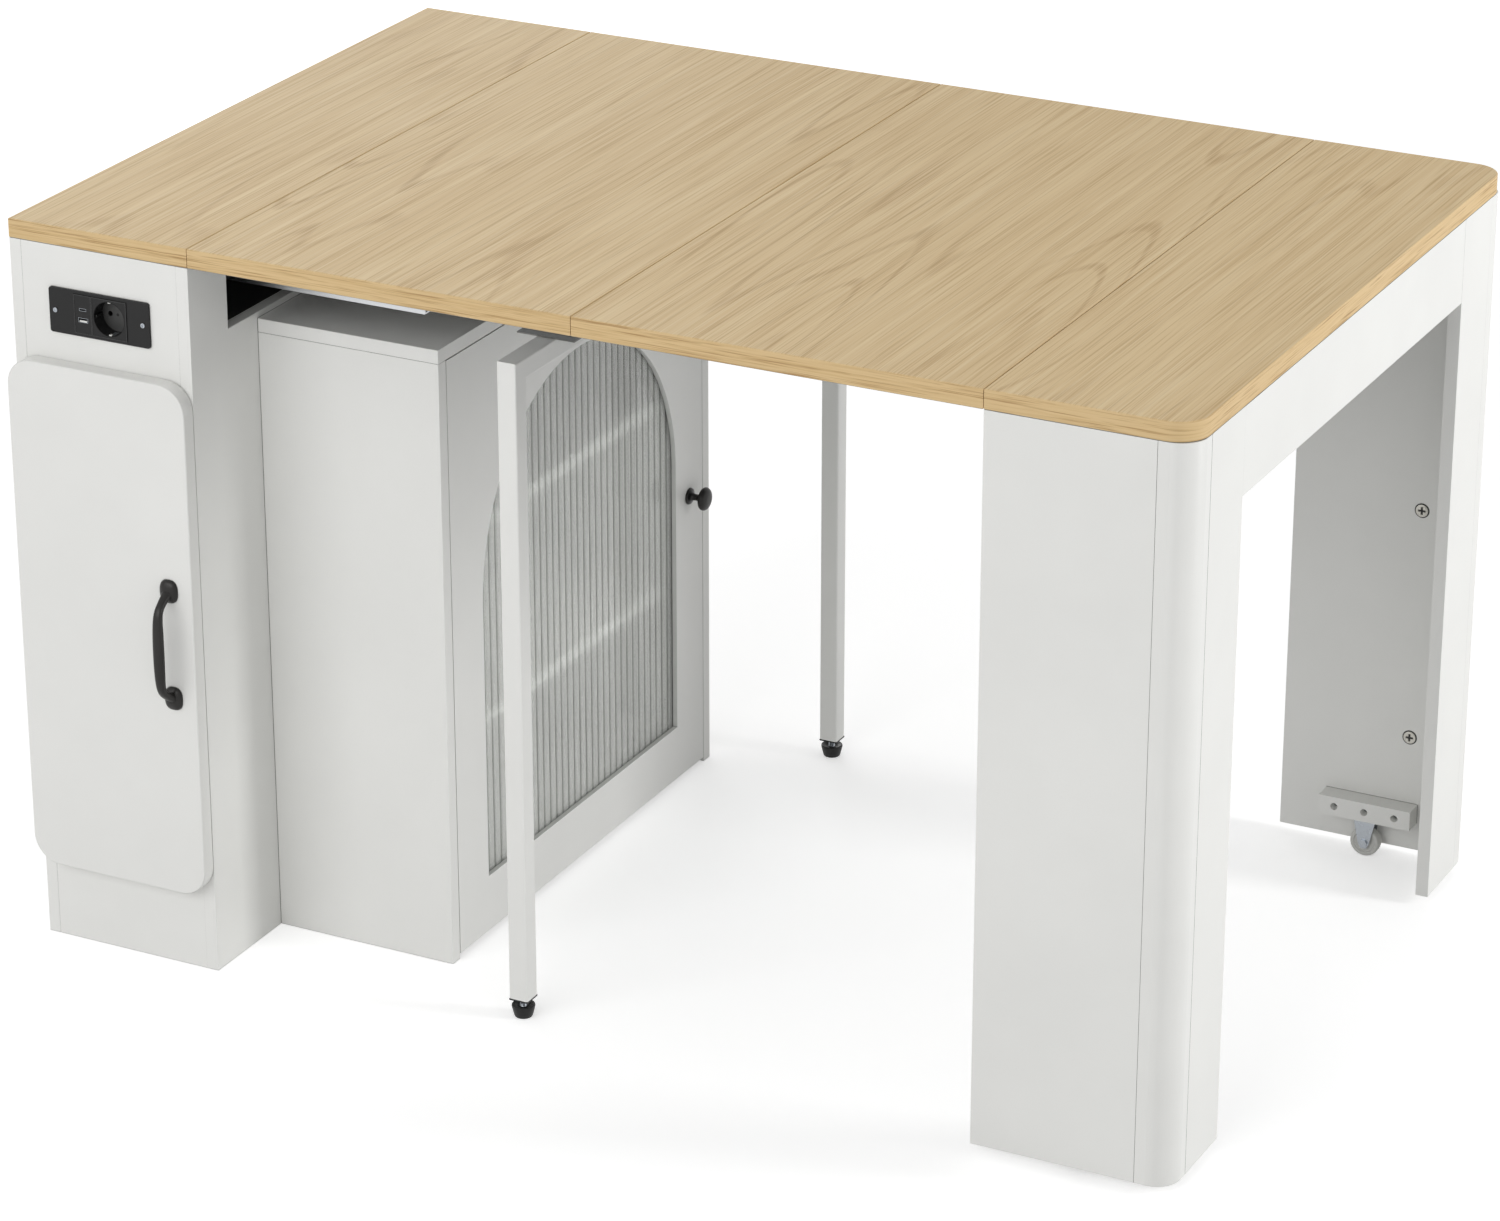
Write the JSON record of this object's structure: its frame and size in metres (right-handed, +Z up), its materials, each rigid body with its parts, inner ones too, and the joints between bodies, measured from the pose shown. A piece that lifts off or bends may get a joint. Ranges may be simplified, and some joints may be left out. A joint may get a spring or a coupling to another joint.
{
  "type": "extendable kitchen island table",
  "caption": "Kitchen island table whose wheeled end gate draws out on telescopic rails to carry loose leaves, with a tower, a power socket and an arched glass cabinet.",
  "frame": {"origin": "centre of the table's bounding box, on the floor", "axes": "+X from the tower along the table to the rolling gate, +Y away from the door and socket side, +Z up"},
  "size_m": [1.388, 0.9506, 0.86],
  "materials": {
    "white_melamine": "white melamine on particle board, silky matt",
    "oak_laminate": "pale oak laminate, matt",
    "black_metal": "black, satin",
    "black_plastic": "black, fine satin",
    "zinc_steel": "zinc plated",
    "box_plastic": "grey, plain",
    "white_metal": "white powder coat, satin",
    "rail_aluminium": "anodised, satin",
    "dark_steel": "dark, matt",
    "fluted_glass": "clear, fluted",
    "white_bead": "white strip, matt",
    "pale_rubber": "pale grey, matt",
    "dark_lining": "black, matt"
  },
  "bodies": {
    "carcass": {"tower_outer_side": "white_melamine", "tower_inner_side": "white_melamine", "tower_fascia": "white_melamine", "tower_plinth": "white_melamine", "tower_far_end": "white_melamine", "tower_bottom": "white_melamine", "tower_shelves": "white_melamine", "tower_divider": "white_melamine", "tower_rail_floor": "dark_lining", "leaf_one": "oak_laminate", "socket_faceplate": "black_plastic", "power_socket": "black_plastic", "earth_clips": "zinc_steel", "usb_module": "black_plastic", "faceplate_screws": "zinc_steel", "socket_back_box": "box_plastic", "cabinet_near_side": "white_melamine", "cabinet_far_side": "white_melamine", "cabinet_top": "white_melamine", "cabinet_bottom": "white_melamine", "cabinet_shelves": "white_melamine", "rail_stage_fixed": "rail_aluminium", "rail_supports": "white_melamine", "tower_hinge_arms": "zinc_steel", "cabinet_hinge_arms": "zinc_steel"},
    "tower_door": {"tower_door": "white_melamine", "bow_handle": "black_metal", "handle_screws": "zinc_steel", "tower_hinge_cups": "zinc_steel"},
    "arched_door": {"arched_door": "white_melamine", "fluted_glass": "fluted_glass", "glass_bead": "white_bead", "door_knob": "black_metal", "cabinet_hinge_cups": "zinc_steel"},
    "gate": {"leaf_four": "oak_laminate", "gate_near_wide": "white_melamine", "gate_far_wide": "white_melamine", "gate_near_post": "white_melamine", "gate_far_post": "white_melamine", "gate_near_narrow": "white_melamine", "gate_far_narrow": "white_melamine", "gate_apron": "white_melamine", "wheel_blocks": "white_melamine", "block_screws": "zinc_steel", "wheel_brackets": "zinc_steel", "wheel_axles": "zinc_steel", "rail_stage_gate": "rail_aluminium"},
    "near_wheel": {"near_wheel": "pale_rubber"},
    "far_wheel": {"far_wheel": "pale_rubber"},
    "middle_support": {"middle_frame": "white_metal", "rail_saddles": "dark_steel", "rail_stage_frame": "rail_aluminium", "leg_plugs": "black_plastic"},
    "near_foot": {"near_foot": "black_plastic"},
    "far_foot": {"far_foot": "black_plastic"},
    "second_stage": {"rail_stage_second": "rail_aluminium"},
    "third_stage": {"rail_stage_third": "rail_aluminium"},
    "leaf_two": {"leaf_two": "oak_laminate"},
    "leaf_three": {"leaf_three": "oak_laminate"}
  },
  "joints": [
    {"name": "gate_slide", "type": "slide", "parent": "carcass", "child": "gate", "axis": [1, 0, 0], "range_m": [-0.932, 0]},
    {"name": "middle_support_slide", "type": "slide", "parent": "carcass", "child": "middle_support", "axis": [1, 0, 0], "range_m": [-0.2, 0]},
    {"name": "second_stage_slide", "type": "slide", "parent": "carcass", "child": "second_stage", "axis": [1, 0, 0], "range_m": [-0.42, 0]},
    {"name": "third_stage_slide", "type": "slide", "parent": "carcass", "child": "third_stage", "axis": [1, 0, 0], "range_m": [-0.69, 0]},
    {"name": "leaf_two_lift", "type": "slide", "parent": "carcass", "child": "leaf_two", "axis": [0, 0, 1], "range_m": [0, 0.75]},
    {"name": "leaf_three_lift", "type": "slide", "parent": "carcass", "child": "leaf_three", "axis": [0, 0, 1], "range_m": [0, 0.75]},
    {"name": "tower_door_hinge", "type": "hinge", "parent": "carcass", "child": "tower_door", "pos_m": [-0.694, -0.42625, 0.403], "axis": [0, 0, -1], "range_deg": [0, 100]},
    {"name": "arched_door_hinge", "type": "hinge", "parent": "carcass", "child": "arched_door", "pos_m": [-0.238, -0.274, 0.36375], "axis": [0, 0, -1], "range_deg": [0, 95]},
    {"name": "near_wheel_spin", "type": "hinge", "parent": "gate", "child": "near_wheel", "pos_m": [0.58, -0.39725, 0.018], "axis": [0, 1, 0], "continuous": true},
    {"name": "far_wheel_spin", "type": "hinge", "parent": "gate", "child": "far_wheel", "pos_m": [0.58, 0.44775, 0.018], "axis": [0, 1, 0], "continuous": true},
    {"name": "near_foot_turn", "type": "hinge", "parent": "middle_support", "child": "near_foot", "pos_m": [-0.106, -0.36325, 0.008], "axis": [0, 0, 1], "continuous": true},
    {"name": "far_foot_turn", "type": "hinge", "parent": "middle_support", "child": "far_foot", "pos_m": [-0.106, 0.41375, 0.008], "axis": [0, 0, 1], "continuous": true}
  ],
  "couplings": [
    {"joint": "middle_support_slide", "follows": "gate_slide", "ratio": 0.21459},
    {"joint": "second_stage_slide", "follows": "gate_slide", "ratio": 0.45064},
    {"joint": "third_stage_slide", "follows": "gate_slide", "ratio": 0.74034},
    {"joint": "leaf_two_lift", "follows": "gate_slide", "ratio": -0.80472},
    {"joint": "leaf_three_lift", "follows": "gate_slide", "ratio": -0.80472}
  ]
}
